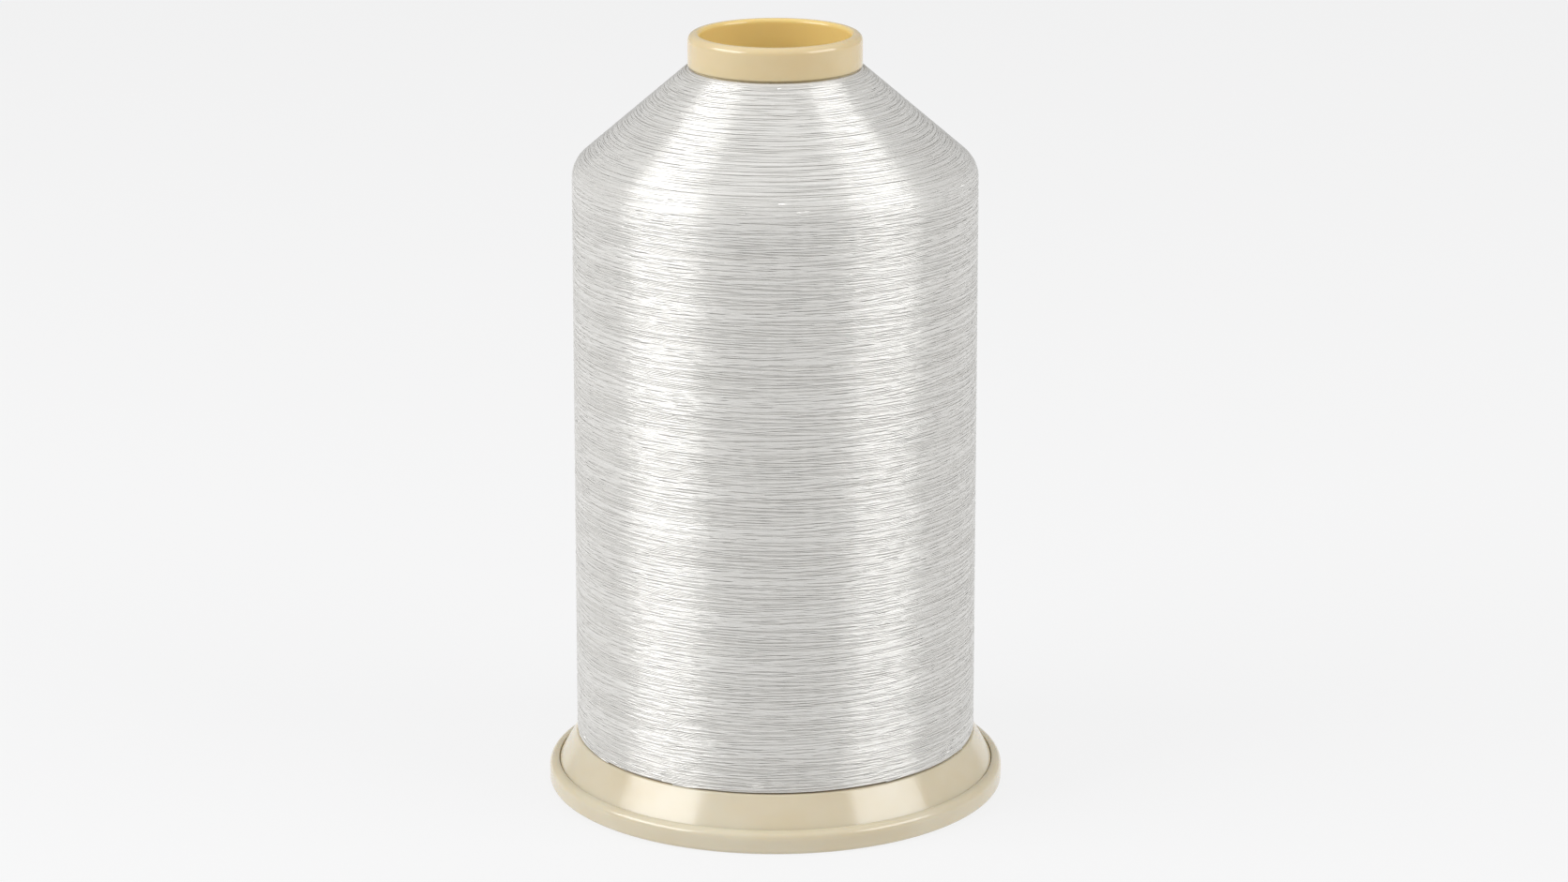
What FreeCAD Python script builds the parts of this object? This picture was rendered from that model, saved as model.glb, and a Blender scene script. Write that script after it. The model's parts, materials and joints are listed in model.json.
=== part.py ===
"""Parametric model of a moulded filament spool: a wound package of clear filament on a tall
tube with a top collar, a conical foot, and a snap ring under the foot that stores the loose tail.

Units are millimetres. +Z is the spool's axis, and the origin is the centre of the rest face.
"""
import FreeCAD, Part
import math
import os
import re

import Sketcher
from FreeCAD import Placement, Rotation, Vector

# name: (value, what it is)
DIMENSIONS = {
    "total_height": (140.2, "rest face to the top of the collar"),
    "bore_radius": (13.5, "through bore for the spindle"),
    "tube_radius": (15.0, "outside of the core tube under the filament"),
    "tube_foot_radius": (14.4, "stepped-down end of the tube, glued into the hub"),
    "tube_seat_height": (4.5, "ledge inside the hub that the tube stands on"),
    "collar_radius": (15.65, "outside of the top collar"),
    "collar_base_height": (134.35, "underside of the collar, on the tube's end"),
    "collar_spigot_radius": (14.25, "collar spigot, pressed into the tube"),
    "collar_spigot_length": (8.0, "depth of the spigot in the tube"),
    "collar_outer_round": (1.25, "rounded outer lip of the collar"),
    "collar_inner_round": (0.6, "rounded mouth of the bore"),
    "shelf_height": (9.46, "top of the foot, where the filament stands"),
    "shelf_radius": (36.86, "top edge of the conical skirt"),
    "skirt_edge_radius": (40.1, "lower edge of the conical skirt"),
    "skirt_edge_height": (3.9, "height of that edge"),
    "skirt_lip_drop": (0.4, "short upright face below the edge"),
    "foot_wall": (1.5, "wall thickness of the foot"),
    "foot_wall_radius": (38.9, "outside of the upright wall inside the tail channel"),
    "channel_roof_height": (3.3, "underside of the skirt lip at the wall"),
    "hub_radius": (16.2, "outside of the hub sleeve"),
    "hub_base_height": (1.5, "underside of the hub"),
    "hub_chamfer": (0.5, "lead-in at the lower mouth of the bore"),
    "rib_thickness": (1.2, "radial stiffening ribs under the shelf"),
    "rib_base_height": (5.4, "lower edge of the ribs"),
    "rib_count": (12, "number of ribs"),
    "notch_width": (3.0, "drive notches in the hub's end"),
    "notch_top_height": (3.4, "roof of the notches"),
    "notch_count": (4, "number of notches"),
    "lug_radius": (35.9, "inner face of the catch lugs"),
    "lug_base_height": (1.6, "underside of the catch lugs"),
    "lug_top_height": (3.0, "shoulder that stops the hooks"),
    "lug_width": (6.0, "width of the catch lugs"),
    "lug_lead": (0.5, "sloped lead-in of the lugs and hooks"),
    "ring_radius": (42.0, "outside of the rim bead"),
    "ring_inner_radius": (34.2, "inside of the ring's base"),
    "ring_floor": (1.2, "thickness of the ring's base"),
    "bead_height": (4.1, "crest of the rim bead"),
    "bead_wall": (1.8, "thickness of the rim bead, which leaves a fine slit beside the skirt"),
    "bead_outer_round": (1.4, "rounding of the bead's outer top edge"),
    "bead_inner_round": (0.3, "rounding of the bead's inner top edge"),
    "ring_base_round": (0.7, "rounding of the edge that meets the table"),
    "finger_count": (6, "snap fingers on the ring"),
    "finger_arc": (18.0, "arc that each finger covers, in degrees"),
    "finger_inner_radius": (34.4, "inside of the fingers"),
    "finger_outer_radius": (35.6, "outside of the fingers"),
    "hook_radius": (36.5, "nose of the hooks"),
    "ring_travel": (2.5, "how far the ring drops to open the channel"),
    "hook_gap": (0.1, "clearance left between hook and lug when open"),
    "package_base_radius": (36.86, "filament at the foot"),
    "package_shoulder_radius": (36.57, "corner between the side and the cone"),
    "package_shoulder_height": (116.47, "height of that corner"),
    "package_top_radius": (15.8, "top of the cone, under the collar"),
    "package_top_height": (134.3, "height of the top of the cone"),
    "package_shoulder_round": (5.0, "rounding of the shoulder"),
    "package_base_round": (1.0, "rounding of the lowest layers"),
    "tail_diameter": (0.25, "diameter of the filament"),
    "tail_gap": (0.02, "clearance between the tail and the skirt"),
    "tail_path_radius": (40.05, "radius that the tail follows in the channel"),
    "tail_path_height": (2.6, "height of the tail in the channel"),
    "tail_turn_radius": (0.8, "bend from downwards to round the channel"),
    "tail_edge_radius": (0.75, "bend over the skirt's edge"),
    "tail_start_height": (10.0, "where the tail leaves the wound filament"),
    "tail_arc": (300.0, "arc that the tail covers in the channel, in degrees"),
    "tail_azimuth": (115.0, "direction in which the tail goes over the skirt, in degrees"),
    "tail_notch_width": (0.7, "notch in the skirt's edge that lets the tail into the channel"),
    "tail_notch_radius": (39.8, "bottom of that notch"),
    "tail_notch_top_height": (4.7, "top of that notch"),
}

FULL_TURN = "360"
RIB_AZIMUTH = 15              # half a step round, so that no rib meets a catch lug
EDGE_SEARCH = 0.05            # how near an edge lies to the place it is looked for
PIPE_VOLUME_TOLERANCE = 0.02


def write_sheet(doc):
    """Put every driving dimension in its own row of the sheet."""
    sheet = doc.addObject("Spreadsheet::Sheet", "dims")
    for row, (name, (value, meaning)) in enumerate(DIMENSIONS.items(), start=1):
        sheet.set("A%d" % row, name)
        sheet.set("B%d" % row, str(value))
        sheet.setAlias("B%d" % row, name)
        sheet.set("C%d" % row, meaning)
    doc.recompute()
    return sheet


def with_sheet(formula):
    """Turn a formula on dimension names into one on the sheet's cells."""
    return re.sub(r"\b[a-z_]+\b",
                  lambda word: "dims." + word[0] if word[0] in DIMENSIONS else word[0], formula)


def bind(feature, prop, formula):
    """Bind a property to a formula on the sheet."""
    feature.setExpression(prop, with_sheet(formula))


def origin_plane(body, role):
    """The body's own origin plane of that role."""
    return next(item for item in body.Origin.OriginFeatures if item.Role == role)


def new_body(doc, name):
    """An empty body whose label names the sub-part."""
    body = doc.addObject("PartDesign::Body", name)
    body.Label = name
    return body


def outline(body, name, corners, azimuth=0):
    """A closed sketch on a plane through the axis, with each corner held at a radius and a height."""
    sketch = body.newObject("Sketcher::SketchObject", name)
    sketch.AttachmentSupport = [(origin_plane(body, "XZ_Plane"), "")]
    sketch.MapMode = "FlatFace"
    sketch.AttachmentOffset = Placement(Vector(), Rotation(Vector(0, 1, 0), azimuth))
    points = [Vector(*[float(sketch.evalExpression(with_sheet(part))) for part in corner], 0)
              for corner in corners]
    for start, end in zip(points, points[1:] + points[:1]):
        sketch.addGeometry(Part.LineSegment(start, end), False)
    for index, (point, corner) in enumerate(zip(points, corners)):
        following = (index + 1) % len(corners)
        sketch.addConstraint(Sketcher.Constraint("Coincident", index, 2, following, 1))
        for kind, value, formula in zip(("DistanceX", "DistanceY"), (point.x, point.y), corner):
            held = sketch.addConstraint(Sketcher.Constraint(kind, -1, 1, index, 1, value))
            bind(sketch, "Constraints[%d]" % held, formula)
    return sketch


def turn(body, name, sketch, angle=FULL_TURN):
    """Revolve an outline about the spool's axis, centred on the XZ plane."""
    feature = body.newObject("PartDesign::Revolution", name)
    feature.Profile = sketch
    feature.ReferenceAxis = (sketch, ["V_Axis"])
    feature.Midplane = True
    bind(feature, "Angle", angle)
    body.Document.recompute()
    return feature


def extrude(body, name, kind, sketch, width):
    """Pad or pocket an outline equally to both sides of the XZ plane."""
    feature = body.newObject("PartDesign::" + kind, name)
    feature.Profile = sketch
    feature.SideType = "Symmetric"
    bind(feature, "Length", width)
    body.Document.recompute()
    return feature


def repeat_round(body, name, feature, count):
    """Repeat a feature round the spool's axis."""
    pattern = body.newObject("PartDesign::PolarPattern", name)
    pattern.Originals = [feature]
    pattern.Axis = (origin_plane(body, "Z_Axis"), [""])
    pattern.Angle = 360
    bind(pattern, "Occurrences", count)
    body.Tip = pattern
    body.Document.recompute()
    return pattern


def sheet_value(doc, formula):
    """The number that a formula on the sheet gives."""
    return float(doc.getObject("dims").evalExpression(with_sheet(formula)))


def circle_edges(body, radius, height):
    """Names of the full circles about the axis at that radius and height."""
    doc = body.Document
    wanted = sheet_value(doc, radius), sheet_value(doc, height)
    names = []
    for number, edge in enumerate(body.Tip.Shape.Edges, start=1):
        if not isinstance(edge.Curve, Part.Circle) or not edge.isClosed():
            continue
        found = edge.Curve.Radius, edge.Curve.Center.z
        if max(abs(a - b) for a, b in zip(found, wanted)) < EDGE_SEARCH:
            names.append("Edge%d" % number)
    if not names:
        raise RuntimeError("%s has no circle at %s, %s" % (body.Label, radius, height))
    return names


def soften(body, name, kind, size_property, radius, height, size):
    """Fillet or chamfer the circular edge at that radius and height."""
    base, edges = body.Tip, circle_edges(body, radius, height)
    feature = body.newObject("PartDesign::" + kind, name)
    feature.Base = (base, edges)
    bind(feature, size_property, size)
    body.Tip = feature
    body.Document.recompute()
    return feature


def round_edge(body, name, radius, height, size):
    """Fillet the circular edge at that radius and height."""
    return soften(body, name, "Fillet", "Radius", radius, height, size)


def make_core_tube(doc):
    """Straight tube, stepped down into the hub below and counterbored for the collar above."""
    body = new_body(doc, "core_tube")
    spigot_end = "collar_base_height - collar_spigot_length"
    wall = outline(body, "tube_outline", [
        ("bore_radius", "tube_seat_height"),
        ("tube_foot_radius", "tube_seat_height"),
        ("tube_foot_radius", "shelf_height"),
        ("tube_radius", "shelf_height"),
        ("tube_radius", "collar_base_height"),
        ("collar_spigot_radius", "collar_base_height"),
        ("collar_spigot_radius", spigot_end),
        ("bore_radius", spigot_end),
    ])
    turn(body, "tube_wall", wall)
    return body


def make_top_collar(doc):
    """Thick ring with a rounded lip, and a spigot that goes down into the tube."""
    body = new_body(doc, "top_collar")
    spigot_end = "collar_base_height - collar_spigot_length"
    section = outline(body, "collar_outline", [
        ("bore_radius", spigot_end),
        ("collar_spigot_radius", spigot_end),
        ("collar_spigot_radius", "collar_base_height"),
        ("collar_radius", "collar_base_height"),
        ("collar_radius", "total_height"),
        ("bore_radius", "total_height"),
    ])
    turn(body, "collar_ring", section)
    round_edge(body, "outer_lip", "collar_radius", "total_height", "collar_outer_round")
    round_edge(body, "bore_mouth", "bore_radius", "total_height", "collar_inner_round")
    round_edge(body, "lower_edge", "collar_radius", "collar_base_height", "0.25")
    return body


def tail_lane_azimuth(doc):
    """Direction from the axis, in degrees, of the place where the tail crosses the skirt's edge."""
    lane = math.asin(sheet_value(doc, "tail_turn_radius / tail_path_radius"))
    return sheet_value(doc, "tail_azimuth") - math.degrees(lane)


def make_foot_flange(doc):
    """Hollow conical foot: hub, shelf and skirt in one wall, with ribs, catch lugs and notches."""
    body = new_body(doc, "foot_flange")
    skirt_run = "(skirt_edge_radius - shelf_radius)"
    skirt_rise = "(shelf_height - skirt_edge_height)"
    inner_wall = "foot_wall_radius - foot_wall"
    # the skirt's inner face is the outer one moved in by the wall, measured square to it
    wall_across = "foot_wall * sqrt(1 + (%s / %s) ^ 2)" % (skirt_run, skirt_rise)
    inside_shelf = ("shelf_radius + foot_wall * %s / %s - %s" % (skirt_run, skirt_rise, wall_across))
    knee_height = ("skirt_edge_height + (skirt_edge_radius - %s - (%s)) * %s / %s"
                   % (wall_across, inner_wall, skirt_rise, skirt_run))
    shell = outline(body, "foot_outline", [
        ("bore_radius", "hub_base_height"),
        ("hub_radius", "hub_base_height"),
        ("hub_radius", "shelf_height - foot_wall"),
        (inside_shelf, "shelf_height - foot_wall"),
        (inner_wall, knee_height),
        (inner_wall, "ring_floor"),
        ("foot_wall_radius", "ring_floor"),
        ("foot_wall_radius", "channel_roof_height"),
        ("skirt_edge_radius", "skirt_edge_height - skirt_lip_drop"),
        ("skirt_edge_radius", "skirt_edge_height"),
        ("shelf_radius", "shelf_height"),
        ("tube_foot_radius", "shelf_height"),
        ("tube_foot_radius", "tube_seat_height"),
        ("bore_radius", "tube_seat_height"),
    ])
    turn(body, "foot_shell", shell)
    round_edge(body, "skirt_edge", "skirt_edge_radius", "skirt_edge_height", "0.2")
    soften(body, "bore_lead_in", "Chamfer", "Size", "bore_radius", "hub_base_height", "hub_chamfer")
    rib = outline(body, "rib_outline", [
        ("hub_radius - 0.4", "rib_base_height"),
        (inner_wall + " + 0.3", "rib_base_height"),
        (inside_shelf + " + 0.3", "shelf_height - foot_wall + 0.3"),
        ("hub_radius - 0.4", "shelf_height - foot_wall + 0.3"),
    ], azimuth=RIB_AZIMUTH)
    first_rib = extrude(body, "rib", "Pad", rib, "rib_thickness")
    repeat_round(body, "ribs", first_rib, "rib_count")
    lug = outline(body, "lug_outline", [
        (inner_wall + " + 0.3", "lug_base_height"),
        ("lug_radius + lug_lead", "lug_base_height"),
        ("lug_radius", "lug_base_height + lug_lead"),
        ("lug_radius", "lug_top_height"),
        (inner_wall + " + 0.3", "lug_top_height"),
    ])
    first_lug = extrude(body, "lug", "Pad", lug, "lug_width")
    repeat_round(body, "lugs", first_lug, "finger_count")
    notch = outline(body, "notch_outline", [
        ("bore_radius - 1", "hub_base_height - 1"),
        ("hub_radius + 1", "hub_base_height - 1"),
        ("hub_radius + 1", "notch_top_height"),
        ("bore_radius - 1", "notch_top_height"),
    ])
    before = body.Tip.Shape.Volume
    first_notch = extrude(body, "notch", "Pocket", notch, "notch_width")
    repeat_round(body, "notches", first_notch, "notch_count")
    if body.Tip.Shape.Volume >= before:
        raise RuntimeError("the drive notches cut nothing")
    before = body.Tip.Shape.Volume
    tail_notch = outline(body, "tail_notch_outline", [
        ("tail_notch_radius", "channel_roof_height - 0.5"),
        ("skirt_edge_radius + 1", "channel_roof_height - 0.5"),
        ("skirt_edge_radius + 1", "tail_notch_top_height"),
        ("tail_notch_radius", "tail_notch_top_height"),
    ], azimuth=tail_lane_azimuth(doc))
    body.Tip = extrude(body, "tail_notch", "Pocket", tail_notch, "tail_notch_width")
    doc.recompute()
    if body.Tip.Shape.Volume >= before:
        raise RuntimeError("the tail notch cuts nothing")
    return body


def make_tail_lock_ring(doc):
    """Snap ring: flat base, rim bead, and hooked fingers that hang on the foot's catch lugs."""
    body = new_body(doc, "tail_lock_ring")
    section = outline(body, "ring_outline", [
        ("ring_inner_radius", "0"),
        ("ring_radius", "0"),
        ("ring_radius", "bead_height"),
        ("ring_radius - bead_wall", "bead_height"),
        ("ring_radius - bead_wall", "ring_floor"),
        ("ring_inner_radius", "ring_floor"),
    ])
    turn(body, "ring_body", section)
    round_edge(body, "bead_crest", "ring_radius", "bead_height", "bead_outer_round")
    round_edge(body, "bead_mouth", "ring_radius - bead_wall", "bead_height", "bead_inner_round")
    round_edge(body, "table_edge", "ring_radius", "0", "ring_base_round")
    hook_base = "lug_top_height + ring_travel + hook_gap"
    finger = outline(body, "finger_outline", [
        ("finger_inner_radius", "ring_floor - 0.4"),
        ("finger_outer_radius", "ring_floor - 0.4"),
        ("finger_outer_radius", hook_base),
        ("hook_radius", hook_base),
        ("hook_radius", hook_base + " + lug_lead"),
        ("finger_outer_radius", hook_base + " + lug_lead + hook_radius - finger_outer_radius"),
        ("finger_inner_radius", hook_base + " + lug_lead + hook_radius - finger_outer_radius"),
    ])
    first_finger = turn(body, "finger", finger, "finger_arc")
    repeat_round(body, "fingers", first_finger, "finger_count")
    return body


def make_filament_package(doc):
    """The wound filament as one solid: nearly straight side, rounded shoulder, long cone."""
    body = new_body(doc, "filament_package")
    section = outline(body, "package_outline", [
        ("tube_radius", "shelf_height"),
        ("package_base_radius", "shelf_height"),
        ("package_shoulder_radius", "package_shoulder_height"),
        ("package_top_radius", "package_top_height"),
        ("tube_radius", "package_top_height"),
    ])
    turn(body, "package_solid", section)
    round_edge(body, "shoulder", "package_shoulder_radius", "package_shoulder_height",
               "package_shoulder_round")
    round_edge(body, "lowest_layers", "package_base_radius", "shelf_height", "package_base_round")
    return body


def tail_path(doc):
    """Line of the tail: down the skirt, over its edge, and round the channel, as lines and arcs."""
    read = {name: sheet_value(doc, name) for name in DIMENSIONS}
    radius = read["tail_diameter"] / 2
    slope = math.atan2(read["skirt_edge_radius"] - read["shelf_radius"],
                       read["shelf_height"] - read["skirt_edge_height"])
    offset = radius + read["tail_gap"]
    lane = -read["tail_turn_radius"]

    def on_skirt(height):
        """Distance from the axis of the tail's line on the skirt at that height."""
        foot = read["shelf_height"] + offset * math.sin(slope)
        return read["shelf_radius"] + offset * math.cos(slope) + (foot - height) * math.tan(slope)

    reach = read["tail_path_radius"]
    edge_height = read["tail_start_height"] - (
        (reach - on_skirt(read["tail_start_height"])) / math.tan(slope))
    bend = read["tail_edge_radius"]
    setback = bend * math.tan(slope / 2)
    start = Vector(on_skirt(read["tail_start_height"]), lane, read["tail_start_height"])
    before_edge = Vector(reach - setback * math.sin(slope), lane,
                         edge_height + setback * math.cos(slope))
    after_edge = Vector(reach, lane, edge_height - setback)
    on_edge = Vector(reach - bend + bend * math.cos(slope / 2), lane,
                     edge_height - setback + bend * math.sin(slope / 2))
    turn_radius = read["tail_turn_radius"]
    height = read["tail_path_height"]
    above_turn = Vector(reach, lane, height + turn_radius)
    diagonal = turn_radius * math.sqrt(0.5)
    in_turn = Vector(reach, -diagonal, height + turn_radius - diagonal)
    after_turn = Vector(reach, 0, height)

    def in_channel(share):
        """Point in the channel after that share of the tail's arc."""
        angle = math.radians(read["tail_arc"] * share)
        return Vector(reach * math.cos(angle), reach * math.sin(angle), height)

    edges = [
        Part.LineSegment(start, before_edge),
        Part.Arc(before_edge, on_edge, after_edge),
        Part.LineSegment(after_edge, above_turn),
        Part.Arc(above_turn, in_turn, after_turn),
        Part.Arc(after_turn, in_channel(0.25), in_channel(0.5)),
        Part.Arc(in_channel(0.5), in_channel(0.75), in_channel(1)),
    ]
    print("tail bends, mm:", bend, turn_radius, reach)
    return Part.Wire([edge.toShape() for edge in edges]), radius


def make_stored_tail(doc):
    """The loose end of the filament, led over the skirt and laid round the lock channel."""
    path, radius = tail_path(doc)
    first = path.Edges[0]
    heading = first.tangentAt(first.FirstParameter)
    circle = Part.Wire([Part.makeCircle(radius, first.valueAt(first.FirstParameter), heading)])
    solid = path.makePipeShell([circle], True, False)
    expected = math.pi * radius ** 2 * path.Length
    print("tail length %.1f mm, volume %.3f of %.3f mm3" % (path.Length, solid.Volume, expected))
    if abs(solid.Volume / expected - 1) > PIPE_VOLUME_TOLERANCE:
        raise RuntimeError("the tail's volume isn't its section times its length")
    tail = doc.addObject("Part::Feature", "stored_tail")
    tail.Label = "stored_tail"
    tail.Shape = solid
    tail.Placement = Placement(Vector(), Rotation(Vector(0, 0, 1), sheet_value(doc, "tail_azimuth")))
    return tail


def check_document(doc, parts):
    """Stop if anything failed to compute, or a sub-part isn't one valid solid."""
    for item in doc.Objects:
        if "Invalid" in item.State or "Error" in item.State:
            raise RuntimeError("%s failed: %s" % (item.Label, item.State))
    for part in parts:
        shape = part.Shape
        if shape.isNull() or not shape.isValid() or len(shape.Solids) != 1:
            raise RuntimeError("%s isn't one valid solid" % part.Label)


def main():
    """Build every sub-part, check the document and write one STEP file for each."""
    doc = FreeCAD.newDocument("filament_spool")
    write_sheet(doc)
    makers = (make_core_tube, make_top_collar, make_foot_flange, make_tail_lock_ring,
              make_filament_package, make_stored_tail)
    parts = [make(doc) for make in makers]
    doc.recompute()
    check_document(doc, parts)
    os.makedirs("parts", exist_ok=True)
    for part in parts:
        part.Shape.exportStep("parts/%s.step" % part.Label)
        box = part.Shape.BoundBox
        print("%s: %.1f mm3, z %.2f to %.2f, x to %.2f"
              % (part.Label, part.Shape.Volume, box.ZMin, box.ZMax, box.XMax))


main()
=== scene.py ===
"""Looks of a tall spool of clear filament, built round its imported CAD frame.

Lengths are metres in the frame's own axes: +Z is the spool's axis, and z = 0 is the rest face.
"""
import json
import logging
import math
import random
from dataclasses import dataclass, field
from enum import Enum
from typing import Any, Iterable, Sequence

import bmesh
import bpy
from mathutils import Matrix, Vector, noise


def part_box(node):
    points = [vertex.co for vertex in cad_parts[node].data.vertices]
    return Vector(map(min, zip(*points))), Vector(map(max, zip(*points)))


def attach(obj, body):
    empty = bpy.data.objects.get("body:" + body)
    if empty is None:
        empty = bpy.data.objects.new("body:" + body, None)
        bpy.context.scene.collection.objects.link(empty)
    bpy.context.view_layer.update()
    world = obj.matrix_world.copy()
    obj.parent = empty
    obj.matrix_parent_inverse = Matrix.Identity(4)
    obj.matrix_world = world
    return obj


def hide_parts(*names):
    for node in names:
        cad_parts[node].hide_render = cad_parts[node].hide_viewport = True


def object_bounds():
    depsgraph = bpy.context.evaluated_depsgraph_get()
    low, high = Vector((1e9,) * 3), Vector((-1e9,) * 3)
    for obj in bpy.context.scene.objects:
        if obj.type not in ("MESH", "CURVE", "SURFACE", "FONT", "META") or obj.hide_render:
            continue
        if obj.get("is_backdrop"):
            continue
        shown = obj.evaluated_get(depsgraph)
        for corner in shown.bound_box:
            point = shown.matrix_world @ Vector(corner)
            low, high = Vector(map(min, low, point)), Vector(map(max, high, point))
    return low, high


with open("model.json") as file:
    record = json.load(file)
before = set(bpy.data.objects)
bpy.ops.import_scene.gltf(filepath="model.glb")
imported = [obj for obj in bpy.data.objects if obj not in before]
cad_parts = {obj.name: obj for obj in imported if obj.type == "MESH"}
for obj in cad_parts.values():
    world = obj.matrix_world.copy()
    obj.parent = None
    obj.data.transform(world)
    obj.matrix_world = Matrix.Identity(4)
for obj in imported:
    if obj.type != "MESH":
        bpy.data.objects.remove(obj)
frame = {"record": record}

MM = 0.001
AXIS = Vector((0.0, 0.0, 1.0))
SLIVER = 0.002 * MM
TAIL_AZIMUTH = math.radians(115)
TAIL_LANE = 0.8 * MM
TAIL_RADIUS_ROUND_CHANNEL = 40.05 * MM
STRAND_TONE = "strand_tone"
SHARP_AFTER_CUT = math.radians(35)
log = logging.getLogger("filament_spool")


# ----------------------------------------------------------------------------------------------
# Shader graphs
# ----------------------------------------------------------------------------------------------

class Signal:
    """A socket whose number can be used in Python sums, which add the Math nodes."""

    def __init__(self, bench: "Bench", socket: bpy.types.NodeSocket) -> None:
        """Wrap a socket of that bench."""
        self.bench = bench
        self.socket = socket

    def _maths(self, operation: str, *values: Any) -> "Signal":
        """Add one Math node.

        Args:
            operation: the Math node's operation.
            values: its inputs, in order.

        Returns:
            The node's result.
        """
        made = self.bench.add("ShaderNodeMath", {"operation": operation},
                              dict(enumerate(values)))
        return self.bench.signal(made, "Value")

    def __add__(self, other: Any) -> "Signal":
        """Signal + other."""
        return self._maths("ADD", self, other)

    def __radd__(self, other: Any) -> "Signal":
        """Other + signal."""
        return self._maths("ADD", other, self)

    def __sub__(self, other: Any) -> "Signal":
        """Signal - other."""
        return self._maths("SUBTRACT", self, other)

    def __rsub__(self, other: Any) -> "Signal":
        """Other - signal."""
        return self._maths("SUBTRACT", other, self)

    def __mul__(self, other: Any) -> "Signal":
        """Signal * other."""
        return self._maths("MULTIPLY", self, other)

    def __rmul__(self, other: Any) -> "Signal":
        """Other * signal."""
        return self._maths("MULTIPLY", other, self)

    def __pow__(self, other: Any) -> "Signal":
        """Signal ** other."""
        return self._maths("POWER", self, other)

    def between(self, low: float, high: float) -> "Signal":
        """Spread the signal from 0 below low to 1 above high, with soft ends."""
        made = self.bench.add("ShaderNodeMapRange", {"interpolation_type": "SMOOTHSTEP"},
                              {"Value": self, "From Min": low, "From Max": high})
        return self.bench.signal(made, "Result")


class Bench:
    """The node tree of one material, with short ways to add to it."""

    def __init__(self, name: str) -> None:
        """Start a material of that name with an empty tree."""
        self.material = bpy.data.materials.new(name)
        self.material.use_nodes = True
        self.tree = self.material.node_tree
        self.tree.nodes.clear()

    def add(self, kind: str, settings: dict[str, Any] | None = None,
            sockets: dict[Any, Any] | None = None) -> bpy.types.Node:
        """Add a node.

        Args:
            kind: the node's type.
            settings: its properties; "stops" holds a colour ramp's positions and colours.
            sockets: input name or number to a value, a Signal or another socket.

        Returns:
            The new node.
        """
        made = self.tree.nodes.new(kind)
        for name, value in (settings or {}).items():
            if name == "stops":
                self._set_stops(made.color_ramp, value)
            else:
                setattr(made, name, value)
        for key, value in (sockets or {}).items():
            if isinstance(value, Signal):
                value = value.socket
            if isinstance(value, bpy.types.NodeSocket):
                self.tree.links.new(value, made.inputs[key])
            else:
                made.inputs[key].default_value = value
        return made

    @staticmethod
    def _set_stops(ramp: bpy.types.ColorRamp,
                   stops: Sequence[tuple[float, Sequence[float]]]) -> None:
        """Give a colour ramp its stops, each a position and a colour."""
        while len(ramp.elements) < len(stops):
            ramp.elements.new(1.0)
        for element, (position, colour) in zip(ramp.elements, stops):
            element.position = position
            element.color = (*colour, 1.0)

    def signal(self, node: bpy.types.Node, output: str | int) -> Signal:
        """The named output of a node, ready for sums."""
        return Signal(self, node.outputs[output])

    def place(self, scale: Sequence[float],
              turn: Sequence[float] = (0.0, 0.0, 0.0)) -> bpy.types.NodeSocket:
        """Object coordinates, turned and then scaled.

        Args:
            scale: how many pattern units a metre holds along each axis.
            turn: rotation about each axis, in radians.

        Returns:
            The coordinates' socket.
        """
        where = self.add("ShaderNodeTexCoord")
        mapped = self.add("ShaderNodeMapping", {"vector_type": "POINT"},
                          {"Vector": where.outputs["Object"], "Scale": scale, "Rotation": turn})
        return mapped.outputs["Vector"]

    def grain(self, where: bpy.types.NodeSocket, scale: float = 1.0, detail: float = 2.0,
              roughness: float = 0.5) -> Signal:
        """Noise from 0 to 1 on those coordinates."""
        made = self.add("ShaderNodeTexNoise", {"noise_dimensions": "3D"},
                        {"Vector": where, "Scale": scale, "Detail": detail, "Roughness": roughness})
        return self.signal(made, 0)

    def blend(self, factor: Any, first: Any, second: Any) -> bpy.types.NodeSocket:
        """Mix two colours by a factor."""
        made = self.add("ShaderNodeMix", {"data_type": "RGBA", "blend_type": "MIX"},
                        {0: factor, 6: first, 7: second})
        return made.outputs[2]

    def bump(self, height: Any, distance: float, strength: float = 1.0,
             under: bpy.types.NodeSocket | None = None) -> bpy.types.NodeSocket:
        """A bump from a height signal, on top of another one if given."""
        sockets = {"Height": height, "Distance": distance, "Strength": strength}
        if under is not None:
            sockets["Normal"] = under
        return self.add("ShaderNodeBump", {}, sockets).outputs["Normal"]

    def finish(self, shader: bpy.types.NodeSocket) -> bpy.types.Material:
        """Connect the shader to the material's output."""
        self.add("ShaderNodeOutputMaterial", {}, {"Surface": shader})
        return self.material


def colour(red: int, green: int, blue: int) -> tuple[float, float, float, float]:
    """Linear colour from a display colour of 0 to 255 a channel."""
    def linear(channel: int) -> float:
        """One channel without its display curve."""
        share = channel / 255
        return share / 12.92 if share <= 0.04045 else ((share + 0.055) / 1.055) ** 2.4
    return linear(red), linear(green), linear(blue), 1.0


# ----------------------------------------------------------------------------------------------
# Finishes
# ----------------------------------------------------------------------------------------------

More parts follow.
